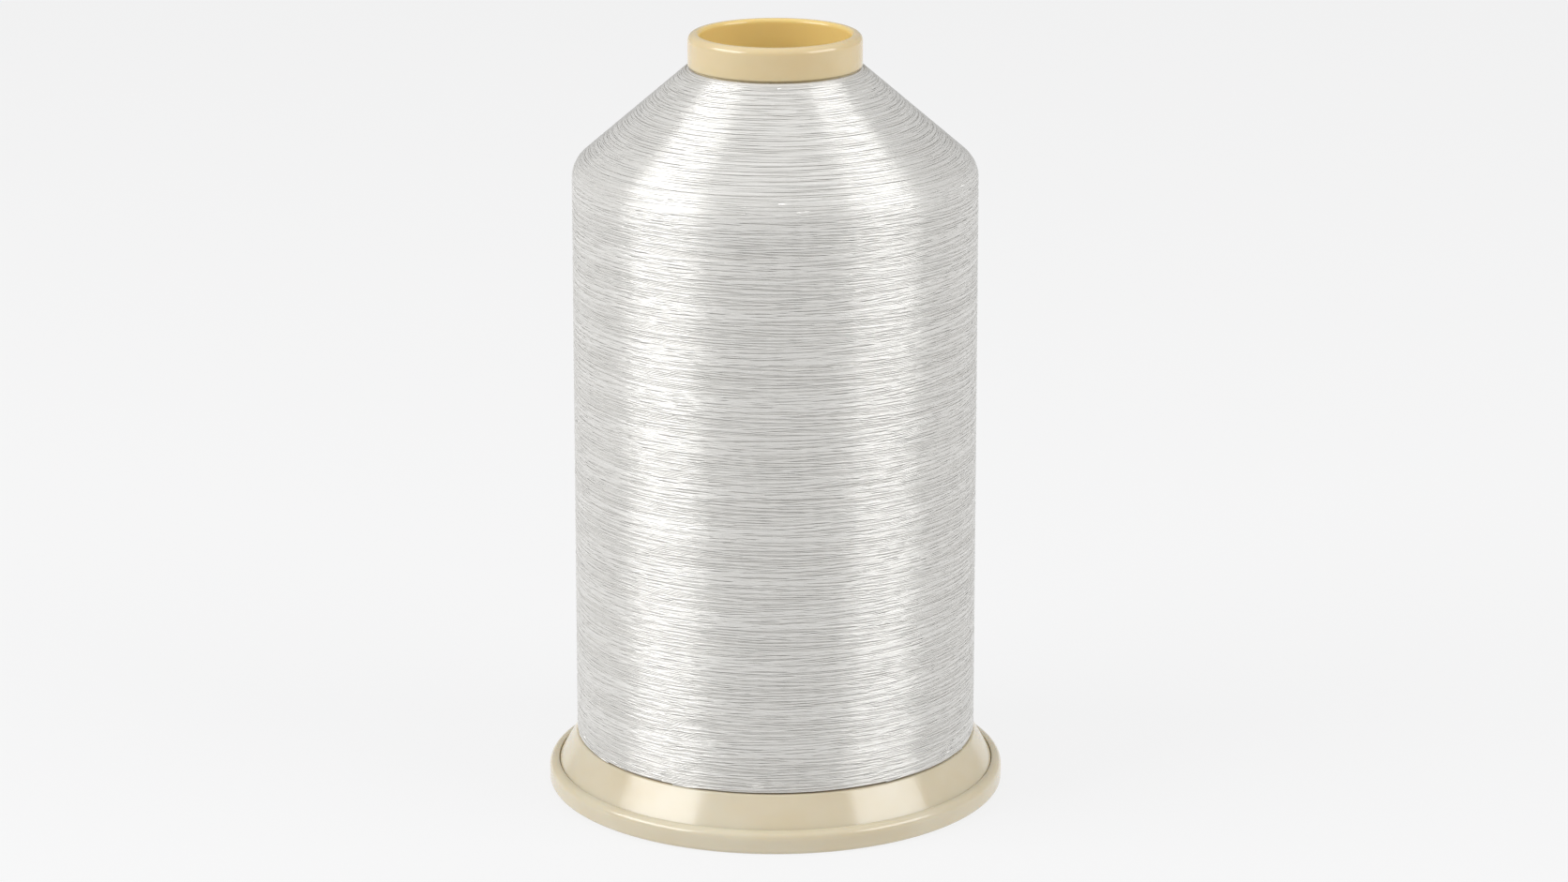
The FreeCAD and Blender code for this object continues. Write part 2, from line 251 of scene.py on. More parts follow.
@dataclass(frozen=True)
class CreamPlastic:
    """Glossy cream moulding, a little translucent, with flow marks, fine scuffs and a painted amber
    glow inside the bore.
    """

    name: str = "cream_plastic"
    body: tuple[float, ...] = colour(199, 190, 168)
    warm: tuple[float, ...] = colour(192, 178, 148)
    # Painted glow: amber colour inside the bore, standing in for light that bounces round the bore
    # and shines through the plastic.
    bore_glow_painted: tuple[float, ...] = colour(219, 192, 122)
    bore_reach: float = 14.0 * MM
    roughness: float = 0.17
    gloss: float = 0.2
    translucence: float = 0.2

    def material(self) -> bpy.types.Material:
        """Build the material.

        Returns:
            The material.
        """
        bench = Bench(self.name)
        flow = bench.grain(bench.place((60, 60, 90)), detail=3.0)
        cloud = bench.grain(bench.place((220, 220, 260), (0.3, 0.2, 0.0)),
                            detail=4.0, roughness=0.6)
        scuffs = bench.grain(bench.place((500, 500, 4500), (0.12, 0.05, 0.0)), detail=3.0)
        pebble = bench.grain(bench.place((3800, 3800, 3800)), detail=2.0)
        base = bench.blend(flow.between(0.35, 0.7) * 0.55 + cloud * 0.2, self.body, self.warm)
        apart = bench.add("ShaderNodeSeparateXYZ", {}, {"Vector": bench.place((1, 1, 1))})
        across, along = bench.signal(apart, "X"), bench.signal(apart, "Y")
        radius = (across * across + along * along) ** 0.5
        # Painted glow: within bore_reach of the axis the colour turns amber, standing in for light
        # that bounces round the bore and shines through its walls.
        painted_glow_mask = 1 - radius.between(self.bore_reach - 0.3 * MM, self.bore_reach + 0.3 * MM)
        base = bench.blend(painted_glow_mask, base, self.bore_glow_painted)
        rough = self.roughness + (cloud - 0.5) * 0.08 + scuffs.between(0.58, 0.75) * 0.08
        normal = bench.bump(pebble, 0.000012, 0.5)
        normal = bench.bump(flow, 0.0004, 0.25, normal)
        normal = bench.bump(scuffs, 0.00001, 0.4, normal)
        shader = bench.add("ShaderNodeBsdfPrincipled", {"subsurface_method": "RANDOM_WALK"}, {
            "Base Color": base, "Roughness": rough, "Normal": normal, "IOR": 1.49,
            "Coat Weight": self.gloss, "Coat Roughness": 0.1,
            "Subsurface Weight": self.translucence, "Subsurface Scale": 0.004,
            "Subsurface Radius": (1.0, 0.62, 0.3)})
        return bench.finish(shader.outputs[0])


@dataclass(frozen=True)
class ClearFilament:
    """Clear nylon filament in the mass: silvery, glossy, each strand a little different."""

    name: str = "clear_filament"
    pale: tuple[float, ...] = colour(226, 225, 222)
    deep: tuple[float, ...] = colour(213, 211, 207)
    roughness: float = 0.2
    silver: float = 0.4

    def material(self) -> bpy.types.Material:
        """Build the material.

        Returns:
            The material.
        """
        bench = Bench(self.name)
        strand = bench.add("ShaderNodeAttribute", {"attribute_name": STRAND_TONE})
        tone = bench.signal(strand, "Fac")
        streaks = bench.grain(bench.place((90, 90, 2600), (0.02, 0.015, 0.0)), detail=2.0)
        patches = bench.grain(bench.place((45, 45, 160)), detail=2.0)
        shade = (tone * 0.6 + streaks * 0.3 + patches * 0.2 - 0.05).between(0.0, 1.0)
        base = bench.blend(shade, self.deep, self.pale)
        rough = self.roughness + (1 - tone) * 0.1 + (streaks - 0.5) * 0.1
        normal = bench.bump(streaks, 0.00004, 0.3)
        shader = bench.add("ShaderNodeBsdfPrincipled", {}, {
            "Base Color": base, "Roughness": rough, "Normal": normal, "IOR": 1.53,
            "Metallic": self.silver})
        return bench.finish(shader.outputs[0])


@dataclass(frozen=True)
class PaleTable:
    """Pale light table: it glows evenly, so shadows on it stay faint."""

    name: str = "pale_table"
    body: tuple[float, ...] = colour(92, 92, 93)
    cloudy: tuple[float, ...] = colour(87, 87, 88)
    glow: float = 0.785

    def material(self) -> bpy.types.Material:
        """Build the material.

        Returns:
            The material.
        """
        bench = Bench(self.name)
        cloud = bench.grain(bench.place((9, 9, 9)), detail=2.0)
        base = bench.blend(cloud * 0.4, self.body, self.cloudy)
        shader = bench.add("ShaderNodeBsdfPrincipled", {}, {
            "Base Color": base, "Roughness": 0.75, "Specular IOR Level": 0.1,
            "Emission Color": (1.0, 1.0, 1.0, 1.0), "Emission Strength": self.glow})
        return bench.finish(shader.outputs[0])


# ----------------------------------------------------------------------------------------------
# Shapes
# ----------------------------------------------------------------------------------------------

@dataclass(frozen=True)
class Corner:
    """A corner of an outline: its distance from the axis, its height and its rounding."""

    radius: float
    height: float
    rounding: float = 0.0


def draw_outline(shape: bmesh.types.BMesh, corners: Sequence[Corner], steps: int = 6) -> None:
    """Draw a closed outline in the XZ plane and round its corners.

    Args:
        shape: the mesh to draw in.
        corners: the outline's corners, in order.
        steps: edges in each rounded corner.
    """
    places = [Vector((corner.radius, 0.0, corner.height)) for corner in corners]
    points = [shape.verts.new(place) for place in places]
    shape.faces.new(points)
    for index, corner in enumerate(corners):
        if corner.rounding <= 0:
            continue
        here, before, after = places[index], places[index - 1], places[(index + 1) % len(places)]
        reach = corner.rounding / math.tan((before - here).angle(after - here) / 2)
        bmesh.ops.bevel(shape, geom=[points[index]], offset=reach, offset_type="OFFSET",
                        segments=steps, profile=0.5, affect="VERTICES", material=-1,
                        clamp_overlap=False)


def hold_edges(shape: bmesh.types.BMesh, reach: float) -> None:
    """Cut every long edge of an outline near both ends, so that rounds don't shade the flats."""
    for edge in [item for item in shape.edges if item.calc_length() > 4 * reach]:
        share = reach / edge.calc_length()
        start = edge.verts[0]
        _, middle = bmesh.utils.edge_split(edge, start, share)
        rest = next(item for item in middle.link_edges if start not in item.verts)
        left = rest.calc_length()
        bmesh.utils.edge_split(rest, middle, (left - reach) / left)


def turned(corners: Sequence[Corner], segments: int, arc: float = math.tau,
           start: float = 0.0, hold: float = 0.0002) -> bmesh.types.BMesh:
    """Turn an outline about the spool's axis into a closed shell.

    Args:
        corners: the outline.
        segments: steps round the arc.
        arc: how far it is turned, in radians; a full circle by default.
        start: azimuth of the first outline, in radians.
        hold: how near the corners the flats get an extra edge.

    Returns:
        The shell.
    """
    shape = bmesh.new()
    draw_outline(shape, corners)
    hold_edges(shape, hold)
    full = arc >= math.tau
    if start:
        bmesh.ops.rotate(shape, verts=shape.verts, cent=(0, 0, 0),
                         matrix=Matrix.Rotation(start, 3, AXIS))
    if full:
        bmesh.ops.delete(shape, geom=list(shape.faces), context="FACES_ONLY")
        geometry = list(shape.verts) + list(shape.edges)
    else:
        geometry = list(shape.verts) + list(shape.edges) + list(shape.faces)
    bmesh.ops.spin(shape, geom=geometry, cent=(0, 0, 0), axis=AXIS, dvec=(0, 0, 0),
                   angle=arc, steps=segments, use_merge=full, use_duplicate=False)
    bmesh.ops.remove_doubles(shape, verts=shape.verts, dist=1e-7)
    bmesh.ops.recalc_face_normals(shape, faces=shape.faces)
    return shape


def as_piece(name: str, shape: bmesh.types.BMesh, finish: bpy.types.Material, body: str,
             replaced: Iterable[str] = (), sharp: float = 35.0) -> bpy.types.Object:
    """Make an object of a finished shape and give it to the frame.

    Args:
        name: the piece's name.
        shape: its mesh, which is freed.
        finish: its material.
        body: the CAD body that it rides on.
        replaced: CAD nodes that it stands for.
        sharp: edges that turn by more than this many degrees stay sharp.

    Returns:
        The object.
    """
    mesh = bpy.data.meshes.new(name)
    shape.to_mesh(mesh)
    shape.free()
    mesh.shade_smooth()
    mesh.set_sharp_from_angle(angle=math.radians(sharp))
    mesh.materials.append(finish)
    piece = bpy.data.objects.new(name, mesh)
    bpy.context.scene.collection.objects.link(piece)
    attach(piece, body)
    if replaced:
        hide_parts(*replaced)
    log.info("%s: %d triangles", name, sum(len(face.vertices) - 2 for face in mesh.polygons))
    return piece


# ----------------------------------------------------------------------------------------------
# The moulded carrier
# ----------------------------------------------------------------------------------------------

@dataclass
class Carrier:
    """Core tube, top collar and conical foot, which are pressed together and never move."""

    finish: bpy.types.Material
    upper_finish: bpy.types.Material
    body: str = "spool"
    slot: str = "ivory_plastic"
    segments: int = 192
    bore: float = field(init=False)
    tube_foot: float = 14.4 * MM
    tube_seat: float = 4.5 * MM
    spigot: float = 14.25 * MM
    spigot_length: float = 8.0 * MM
    lip_outer: float = 1.3 * MM
    lip_inner: float = 0.75 * MM
    wall: float = 1.5 * MM
    skirt_top: float = 36.86 * MM
    skirt_edge_height: float = 3.9 * MM
    skirt_lip: float = 0.4 * MM
    foot_wall: float = 38.9 * MM
    channel_roof: float = 3.3 * MM
    hub: float = 16.2 * MM
    rib_count: int = 12
    rib_width: float = 1.2 * MM
    rib_base: float = 5.4 * MM
    lug_count: int = 6
    lug_width: float = 6.0 * MM
    lug_face: float = 35.9 * MM
    lug_base: float = 1.6 * MM
    lug_top: float = 3.0 * MM
    notch_count: int = 4
    notch_width: float = 3.0 * MM
    notch_top: float = 3.4 * MM
    tail_notch_width: float = 0.7 * MM
    tail_notch_floor: float = 39.8 * MM
    tail_notch_top: float = 4.7 * MM

    def __post_init__(self) -> None:
        """Read the bore from the record's mount."""
        mounts = {mount["name"]: mount for mount in frame["record"]["mounts"]}
        self.bore = mounts["spindle_bore"]["dims"]["r_mm"] * MM

    def build(self) -> list[bpy.types.Object]:
        """Build the three pieces.

        Returns:
            The pieces.
        """
        return [self.core_tube(), self.top_collar(), self.foot_flange()]

    def core_tube(self) -> bpy.types.Object:
        """Tube that the filament is wound on."""
        low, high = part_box("core_tube")
        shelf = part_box("foot_flange")[1].z
        spigot_end = high.z - self.spigot_length
        shape = turned([
            Corner(self.bore, low.z), Corner(self.tube_foot, low.z, 0.2 * MM),
            Corner(self.tube_foot, shelf), Corner(high.x, shelf, 0.2 * MM),
            Corner(high.x, high.z, 0.2 * MM), Corner(self.spigot, high.z, 0.15 * MM),
            Corner(self.spigot, spigot_end), Corner(self.bore, spigot_end)], self.segments)
        return as_piece("core_tube_shell", shape, self.upper_finish, self.body,
                        ["core_tube"])

    def top_collar(self) -> bpy.types.Object:
        """Thick ring with a soft lip, and its spigot in the tube."""
        low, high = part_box("top_collar")
        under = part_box("core_tube")[1].z
        shape = turned([
            Corner(self.bore, low.z, 0.15 * MM), Corner(self.spigot, low.z, 0.15 * MM),
            Corner(self.spigot, under), Corner(high.x, under, 0.3 * MM),
            Corner(high.x, high.z, self.lip_outer), Corner(self.bore, high.z, self.lip_inner)],
            self.segments)
        return as_piece("top_collar_ring", shape, self.upper_finish, self.body,
                        ["top_collar"])

    def foot_flange(self) -> bpy.types.Object:
        """Hollow cone with its hub, ribs, catch lugs and drive notches."""
        low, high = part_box("foot_flange")
        hub_base = 1.5 * MM
        run = (high.x - self.skirt_top) / (high.z - self.skirt_edge_height)
        across = self.wall * math.hypot(1, run)
        inside_shelf = self.skirt_top + self.wall * run - across
        inner_wall = self.foot_wall - self.wall
        knee = self.skirt_edge_height + (high.x - across - inner_wall) / run
        shape = turned([
            Corner(self.bore, hub_base, 0.3 * MM), Corner(self.hub, hub_base, 0.2 * MM),
            Corner(self.hub, high.z - self.wall, 0.4 * MM),
            Corner(inside_shelf, high.z - self.wall, 0.5 * MM),
            Corner(inner_wall, knee, 1.0 * MM), Corner(inner_wall, low.z, 0.2 * MM),
            Corner(self.foot_wall, low.z, 0.2 * MM),
            Corner(self.foot_wall, self.channel_roof, 0.2 * MM),
            Corner(high.x, self.skirt_edge_height - self.skirt_lip, 0.12 * MM),
            Corner(high.x, self.skirt_edge_height, 0.12 * MM),
            Corner(self.skirt_top, high.z, 0.4 * MM),
            Corner(self.tube_foot, high.z, 0.2 * MM), Corner(self.tube_foot, self.tube_seat),
            Corner(self.bore, self.tube_seat)], self.segments)
        piece = as_piece("conical_foot", shape, self.finish, self.body, ["foot_flange"])
        roof = high.z - self.wall + 0.3 * MM
        rib = [(self.hub - 0.4 * MM, self.rib_base), (inner_wall + 0.3 * MM, self.rib_base),
               (inside_shelf + 0.3 * MM, roof), (self.hub - 0.4 * MM, roof)]
        lug = [(inner_wall + 0.3 * MM, self.lug_base), (self.lug_face + 0.5 * MM, self.lug_base),
               (self.lug_face, self.lug_base + 0.5 * MM), (self.lug_face, self.lug_top),
               (inner_wall + 0.3 * MM, self.lug_top)]
        notch = [(self.bore - MM, 0.0), (self.hub + MM, 0.0),
                 (self.hub + MM, self.notch_top), (self.bore - MM, self.notch_top)]
        half_step = math.pi / self.rib_count
        carve(piece, "UNION", slabs(rib, self.rib_width, self.rib_count, half_step, 0.15 * MM))
        carve(piece, "UNION", slabs(lug, self.lug_width, self.lug_count, 0.0, 0.15 * MM))
        carve(piece, "DIFFERENCE", slabs(notch, self.notch_width, self.notch_count, 0.0, 0.0))
        tail_notch = [(self.tail_notch_floor, self.channel_roof - 0.5 * MM),
                      (high.x + MM, self.channel_roof - 0.5 * MM),
                      (high.x + MM, self.tail_notch_top),
                      (self.tail_notch_floor, self.tail_notch_top)]
        crossing = TAIL_AZIMUTH - math.asin(TAIL_LANE / TAIL_RADIUS_ROUND_CHANNEL)
        carve(piece, "DIFFERENCE", slabs(tail_notch, self.tail_notch_width, 1, crossing, 0.0))
        return piece


def slabs(outline: Sequence[tuple[float, float]], width: float, count: int, first: float,
          softened: float) -> bmesh.types.BMesh:
    """Flat slabs that stand in planes through the axis, evenly round it.

    Args:
        outline: radius and height of each corner of one slab.
        width: its thickness.
        count: how many there are.
        first: azimuth of the first, in radians.
        softened: size of the bevel on its edges.

    Returns:
        The slabs, as one mesh of separate solids.
    """
    shape = bmesh.new()
    face = shape.faces.new([shape.verts.new((radius, -width / 2, height))
                            for radius, height in outline])
    made = bmesh.ops.extrude_face_region(shape, geom=[face])
    moved = [item for item in made["geom"] if isinstance(item, bmesh.types.BMVert)]
    bmesh.ops.translate(shape, verts=moved, vec=(0.0, width, 0.0))
    bmesh.ops.recalc_face_normals(shape, faces=shape.faces)
    if softened:
        bmesh.ops.bevel(shape, geom=list(shape.edges), offset=softened, offset_type="OFFSET",
                        segments=2, profile=0.5, affect="EDGES", material=-1)
    bmesh.ops.rotate(shape, verts=shape.verts, cent=(0, 0, 0),
                     matrix=Matrix.Rotation(first, 3, AXIS))
    one = list(shape.verts) + list(shape.edges) + list(shape.faces)
    if count > 1:
        bmesh.ops.spin(shape, geom=one, cent=(0, 0, 0), axis=AXIS, dvec=(0, 0, 0),
                       angle=math.tau * (count - 1) / count, steps=count - 1, use_merge=False,
                       use_duplicate=True)
    bmesh.ops.recalc_face_normals(shape, faces=shape.faces)
    return shape


def mend(mesh: bpy.types.Mesh) -> None:
    """Merge the slivers that a cut leaves, so that the mesh stays closed."""
    shape = bmesh.new()
    shape.from_mesh(mesh)
    bmesh.ops.remove_doubles(shape, verts=shape.verts, dist=SLIVER)
    bmesh.ops.triangulate(shape, faces=[face for face in shape.faces if len(face.verts) > 4])
    bmesh.ops.dissolve_degenerate(shape, dist=SLIVER, edges=shape.edges)
    shape.to_mesh(mesh)
    shape.free()


def carve(piece: bpy.types.Object, operation: str, tool: bmesh.types.BMesh) -> None:
    """Join solids to a piece, or cut them from it, and keep the result as its mesh.

    Args:
        piece: the piece.
        operation: UNION or DIFFERENCE.
        tool: the solids, which are freed.
    """
    mesh = bpy.data.meshes.new("tool")
    tool.to_mesh(mesh)
    tool.free()
    mesh.shade_smooth()
    mesh.set_sharp_from_angle(angle=SHARP_AFTER_CUT)
    helper = bpy.data.objects.new("tool", mesh)
    bpy.context.scene.collection.objects.link(helper)
    cut = piece.modifiers.new("cut", "BOOLEAN")
    cut.operation = operation
    cut.solver = "EXACT"
    cut.object = helper
    graph = bpy.context.evaluated_depsgraph_get()
    result = bpy.data.meshes.new_from_object(piece.evaluated_get(graph))
    piece.modifiers.remove(cut)
    mend(result)
    old = piece.data
    result.name = old.name
    piece.data = result
    bpy.data.meshes.remove(old)
    bpy.data.objects.remove(helper)
    bpy.data.meshes.remove(mesh)


@dataclass
class LockRing:
    """Snap ring under the foot: it slides down to open the channel that holds the tail."""

    finish: bpy.types.Material
    body: str = "lock_ring"
    slot: str = "ivory_plastic"
    segments: int = 192
    inner: float = 34.2 * MM
    floor: float = 1.2 * MM
    crest: float = 4.1 * MM
    bead_wall: float = 1.8 * MM
    bead_outer_round: float = 1.4 * MM
    bead_inner_round: float = 0.14 * MM
    table_round: float = 0.7 * MM
    finger_count: int = 6
    finger_root: float = 0.6 * MM
    finger_arc: float = math.radians(18)
    finger_inner: float = 34.4 * MM
    finger_outer: float = 35.6 * MM
    hook: float = 36.5 * MM
    hook_base: float = 5.6 * MM
    hook_lead: float = 0.5 * MM

    def build(self) -> list[bpy.types.Object]:
        """Build the ring with its fingers.

        Returns:
            The piece.
        """
        low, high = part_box("tail_lock_ring")
        shape = turned([
            Corner(self.inner, low.z, 0.25 * MM), Corner(high.x, low.z, self.table_round),
            Corner(high.x, self.crest, self.bead_outer_round),
            Corner(high.x - self.bead_wall, self.crest, self.bead_inner_round),
            Corner(high.x - self.bead_wall, self.floor, 0.3 * MM),
            Corner(self.inner, self.floor, 0.25 * MM)], self.segments)
        ring = as_piece("snap_ring", shape, self.finish, self.body, ["tail_lock_ring"])
        for index in range(self.finger_count):
            carve(ring, "UNION", self.finger(math.tau * index / self.finger_count, high.z))
        return [ring]

    def finger(self, azimuth: float, top: float) -> bmesh.types.BMesh:
        """One hooked finger about that azimuth, up to that height."""
        nose = self.hook_base + self.hook_lead
        return turned([
            Corner(self.finger_inner, self.floor - self.finger_root),
            Corner(self.finger_outer, self.floor - self.finger_root),
            Corner(self.finger_outer, self.hook_base, 0.1 * MM),
            Corner(self.hook, self.hook_base, 0.1 * MM),
            Corner(self.hook, nose, 0.15 * MM), Corner(self.finger_outer, top, 0.15 * MM),
            Corner(self.finger_inner, top, 0.15 * MM)],
            12, self.finger_arc, azimuth - self.finger_arc / 2, 0.0001)


# ----------------------------------------------------------------------------------------------
# The wound filament
# ----------------------------------------------------------------------------------------------

@dataclass(frozen=True)
class Spot:
    """A place on the package's outline and the direction square to it there."""

    radius: float
    height: float
    out_radius: float
    out_height: float


@dataclass
class PackageOutline:
    """Outer outline of the package, followed by its length from the foot up to the collar."""

    base_radius: float
    base_height: float
    shoulder_radius: float
    shoulder_height: float
    top_radius: float
    top_height: float
    rounding: float
    side: float = field(init=False)
    bend: float = field(init=False)
    cone: float = field(init=False)
    lean: float = field(init=False)
    turn: float = field(init=False)

    def __post_init__(self) -> None:
        """Work out the lengths of the straight side, the rounded shoulder and the cone."""
        self.lean = math.atan2(self.shoulder_radius - self.base_radius,
                               self.shoulder_height - self.base_height)
        slope = math.atan2(self.top_radius - self.shoulder_radius,
                           self.top_height - self.shoulder_height)
        self.turn = slope - self.lean
        setback = self.rounding * math.tan(abs(self.turn) / 2)
        self.side = math.hypot(self.shoulder_radius - self.base_radius,
                               self.shoulder_height - self.base_height) - setback
        self.bend = self.rounding * abs(self.turn)
        self.cone = math.hypot(self.top_radius - self.shoulder_radius,
                               self.top_height - self.shoulder_height) - setback

    @property
    def length(self) -> float:
        """Whole length of the outline."""
        return self.side + self.bend + self.cone

    def at(self, lay: float) -> Spot:
        """The spot at that length from the foot."""
        if lay <= self.side:
            heading = self.lean
            radius = self.base_radius + math.sin(heading) * lay
            height = self.base_height + math.cos(heading) * lay
        elif lay <= self.side + self.bend:
            start = self.at(self.side)
            swept = -(lay - self.side) / self.rounding
            heading = self.lean + swept
            radius = start.radius - self.rounding * (math.cos(self.lean) - math.cos(heading))
            height = start.height + self.rounding * (math.sin(self.lean) - math.sin(heading))
        else:
            start = self.at(self.side + self.bend)
            heading = self.lean + self.turn
            radius = start.radius + math.sin(heading) * (lay - self.side - self.bend)
            height = start.height + math.cos(heading) * (lay - self.side - self.bend)
        return Spot(radius, height, math.cos(heading), -math.sin(heading))


class Direction(Enum):
    """Way that a pass of filament travels along the package."""

    UP = 1
    DOWN = -1


@dataclass(frozen=True)
class Layer:
    """Passes of filament that share a stretch of the package and a way of lying.

    low and high are lengths along the outline, advance is the rise of one turn, depth is how far
    the filament's centre lies under the outline, and wander and heave are the size of its slow
    sideways and in-and-out drift.
    """

    name: str
    low: float
    high: float
    advance: float
    passes: int
    depth: float
    wander: float
    heave: float
    tone: tuple[float, float]


@dataclass
class Winding:
    """The package: a closed core with strands of real filament laid over it."""

    finish: bpy.types.Material
    body: str = "spool"
    slot: str = "clear_filament"
    filament: float = 0.25 * MM
    sides: int = 5
    steps_per_turn: int = 72
    shoulder_radius: float = 36.57 * MM
    shoulder_height: float = 116.47 * MM
    top_radius: float = 15.8 * MM
    rounding: float = 5.0 * MM
    turns_per_piece: int = 240
    outline: PackageOutline = field(init=False)
    dice: random.Random = field(default_factory=lambda: random.Random(41))

    def __post_init__(self) -> None:
        """Take the package's outline from the frame."""
        low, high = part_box("filament_package")
        self.outline = PackageOutline(high.x, low.z, self.shoulder_radius, self.shoulder_height,
                                      self.top_radius, high.z, self.rounding)

    def build(self) -> list[bpy.types.Object]:
        """Build the core and every layer of strands.

        Returns:
            The pieces.
        """
        side = self.outline.side
        top = self.outline.length
        pieces = [self.core()]
        layers = [
            Layer("side_under", 0.2 * MM, side + 4 * MM, 0.25 * MM, 1,
                  0.30 * MM, 0.12 * MM, 0.02 * MM, (0.4, 0.8)),
            Layer("side_over", 0.3 * MM, side + 3 * MM, 8.0 * MM, 36,
                  0.17 * MM, 0.5 * MM, 0.03 * MM, (0.35, 0.95)),
            Layer("cone_under", side, top - 0.3 * MM, 0.25 * MM, 1,
                  0.30 * MM, 0.12 * MM, 0.02 * MM, (0.4, 0.8)),
            Layer("cone_over", side + 1 * MM, top - 0.3 * MM, 2.2 * MM, 12,
                  0.17 * MM, 0.28 * MM, 0.03 * MM, (0.35, 0.95)),
        ]
        for layer in layers:
            pieces += self.lay(layer)
        return pieces

    def core(self) -> bpy.types.Object:
        """Closed body just under the strands, down to the tube."""
        low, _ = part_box("filament_package")
        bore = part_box("core_tube")[1].x
        sink = 0.42 * MM
        shape = bmesh.new()
        rows = 150
        spots = [self.outline.at(self.outline.length * row / rows) for row in range(rows + 1)]
        edge = [(bore, low.z), (spots[0].radius - 1.2 * MM, low.z)]
        edge += [(spot.radius - sink * spot.out_radius,
                  max(low.z + 0.5 * MM, spot.height - sink * spot.out_height))
                 for spot in spots[1:]]
        edge += [(bore, edge[-1][1])]
        verts = [shape.verts.new((radius, 0.0, height)) for radius, height in edge]
        for first, second in zip(verts, verts[1:] + verts[:1]):
            shape.edges.new((first, second))
        bmesh.ops.spin(shape, geom=list(shape.verts) + list(shape.edges), cent=(0, 0, 0), axis=AXIS,
                       dvec=(0, 0, 0), angle=math.tau, steps=192, use_merge=True,
                       use_duplicate=False)
        bmesh.ops.remove_doubles(shape, verts=shape.verts, dist=1e-7)
        bmesh.ops.recalc_face_normals(shape, faces=shape.faces)
        piece = as_piece("package_core", shape, self.finish, self.body,
                         ["filament_package"])
        tone = piece.data.attributes.new(STRAND_TONE, "FLOAT", "POINT")
        tone.data.foreach_set("value", [0.3] * len(piece.data.vertices))
        return piece

    def lay(self, layer: Layer) -> list[bpy.types.Object]:
        """Lay every pass of a layer.

        Args:
            layer: the layer.

        Returns:
            The pieces, each of a few passes or a stretch of one.
        """
        pieces: list[bpy.types.Object] = []
        whole = bmesh.new()
        whole.verts.layers.float.new(STRAND_TONE)
        turns_held = 0.0
        for number in range(layer.passes):
            way = Direction.UP if number % 2 == 0 else Direction.DOWN
            low = layer.low + self.dice.uniform(0.0, 1.0) * min(layer.advance, 2 * MM)
            high = layer.high - self.dice.uniform(0.0, 1.0) * min(layer.advance, 2 * MM)
            while low < high:
                stop = min(high, low + self.turns_per_piece * layer.advance)
                turns_held += self.add_pass(whole, layer, way, low, stop)
                low = stop
                if turns_held >= self.turns_per_piece:
                    pieces.append(self.close_piece(layer, len(pieces), whole))
                    whole = bmesh.new()
                    whole.verts.layers.float.new(STRAND_TONE)
                    turns_held = 0.0
        if whole.verts:
            pieces.append(self.close_piece(layer, len(pieces), whole))
        return pieces

    def close_piece(self, layer: Layer, number: int, shape: bmesh.types.BMesh) -> bpy.types.Object:
        """Make the strands collected so far a piece."""
        return as_piece(f"{layer.name}_{number + 1}", shape, self.finish, self.body,
                        ["filament_package"], sharp=180.0)

    def add_pass(self, whole: bmesh.types.BMesh, layer: Layer, way: Direction, low: float,
                 high: float) -> float:
        """Lay one pass of filament from a flat strip, rolled into a tube and wound on.

        Args:
            whole: the mesh that it is added to.
            layer: the layer that it belongs to.
            way: the way that the pass travels.
            low: length along the outline where it begins.
            high: length along the outline where it ends.

        Returns:
            How many turns it makes.
        """
        turns = (high - low) / layer.advance
        steps = round(turns * self.steps_per_turn)
        phase, seed = self.dice.uniform(0, math.tau), self.dice.uniform(0, 1000)
        shape = bmesh.new()
        bmesh.ops.create_grid(shape, x_segments=steps, y_segments=self.sides, size=1.0)
        tones = shape.verts.layers.float.new(STRAND_TONE)
        verts = sorted(shape.verts, key=lambda vert: (vert.co.x, vert.co.y))
        rows = self.sides + 1
        for step in range(steps + 1):
            angle = phase + way.value * math.tau * turns * step / steps
            across = Vector((math.cos(angle), math.sin(angle), 0.0))
            lay = low + (high - low) * step / steps
            drift = Vector((across.x * 1.8, across.y * 1.8, seed))
            swing = noise.noise(drift + Vector((0, 0, lay * 90)))
            swing += 0.5 * noise.noise(drift * 1.7 + Vector((9, 5, lay * 1400)))
            lift = noise.noise(drift * 2.1 + Vector((7, 3, lay * 400)))
            tint = noise.noise(drift * 0.8 + Vector((17, 31, lay * 500)))
            lay = min(max(lay + layer.wander * swing, 0.1 * MM), self.outline.length - 0.1 * MM)
            spot = self.outline.at(lay)
            out = across * spot.out_radius + AXIS * spot.out_height
            along = AXIS * spot.out_radius - across * spot.out_height
            sunk = out * (layer.heave * lift - layer.depth)
            centre = across * spot.radius + AXIS * spot.height + sunk
            dull, bright = layer.tone
            tone = min(max(dull + (bright - dull) * (0.5 + tint), 0.0), 1.0)
            for row in range(rows):
                round_it = math.tau * row / self.sides
                vert = verts[step * rows + row]
                rim = out * math.cos(round_it) + along * math.sin(round_it)
                vert.co = centre + rim * self.filament / 2
                vert[tones] = tone
        bmesh.ops.remove_doubles(shape, verts=shape.verts, dist=1e-7)
        ends = [edge for edge in shape.edges if edge.is_boundary]
        bmesh.ops.holes_fill(shape, edges=ends, sides=0)
        bmesh.ops.recalc_face_normals(shape, faces=shape.faces)
        strand = bpy.data.meshes.new("strand")
        shape.to_mesh(strand)
        shape.free()
        whole.from_mesh(strand)
        bpy.data.meshes.remove(strand)
        return turns


